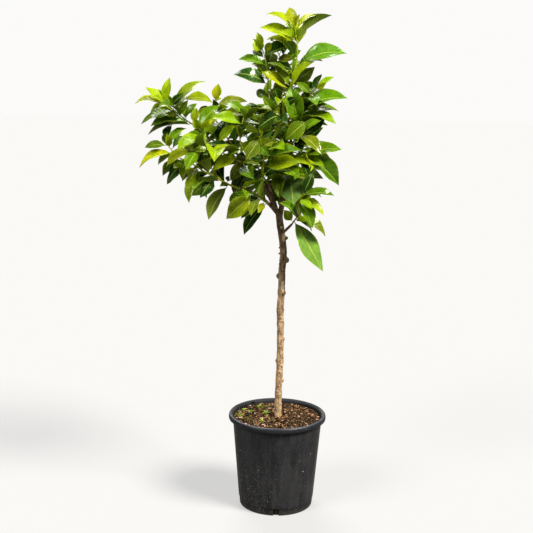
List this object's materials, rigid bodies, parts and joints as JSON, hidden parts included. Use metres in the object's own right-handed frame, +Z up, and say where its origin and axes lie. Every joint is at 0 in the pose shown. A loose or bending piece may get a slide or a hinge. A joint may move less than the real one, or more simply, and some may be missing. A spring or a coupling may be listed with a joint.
{
  "type": "potted lemon tree",
  "caption": "Young lemon tree on a slim bare trunk with a leafy, one-sided crown, rooted in potting soil in a round black nursery pot that stands on its flat base.",
  "frame": {"origin": "centre of the pot's flat underside, on the pot's axis", "axes": "+Z up along the pot's axis; the picture's view looks along +Y, with +X to its right"},
  "size_m": [0.4953, 0.3341, 1.2104],
  "materials": {
    "black_plastic": "satin",
    "potting_soil": "matte",
    "bark": "matte",
    "leaf": "satin",
    "seedling": "matte"
  },
  "bodies": {
    "root": {"pot": "black_plastic", "potting_soil": "potting_soil", "trunk": "bark", "leader_shoot": "leaf", "top_left_shoot": "leaf", "right_upper_shoot": "leaf", "front_right_shoot": "leaf", "right_middle_shoot": "leaf", "right_low_shoot": "leaf", "hanging_shoot": "leaf", "far_left_shoot": "leaf", "upright_shoot": "leaf", "lower_left_shoot": "leaf", "middle_left_shoot": "leaf", "inner_shoot": "leaf", "low_front_shoot": "leaf", "back_left_shoot": "leaf", "back_shoot": "leaf", "back_right_shoot": "leaf", "back_low_shoot": "leaf", "back_wing_shoot": "leaf", "back_top_shoot": "leaf", "front_top_shoot": "leaf", "centre_shoot": "leaf", "upper_inner_shoot": "leaf", "wing_under_shoot": "leaf", "wing_front_shoot": "leaf", "top_inner_shoot": "leaf", "seedling_1": "seedling", "seedling_2": "seedling", "seedling_3": "seedling", "seedling_4": "seedling", "seedling_5": "seedling", "seedling_6": "seedling"}
  },
  "joints": []
}
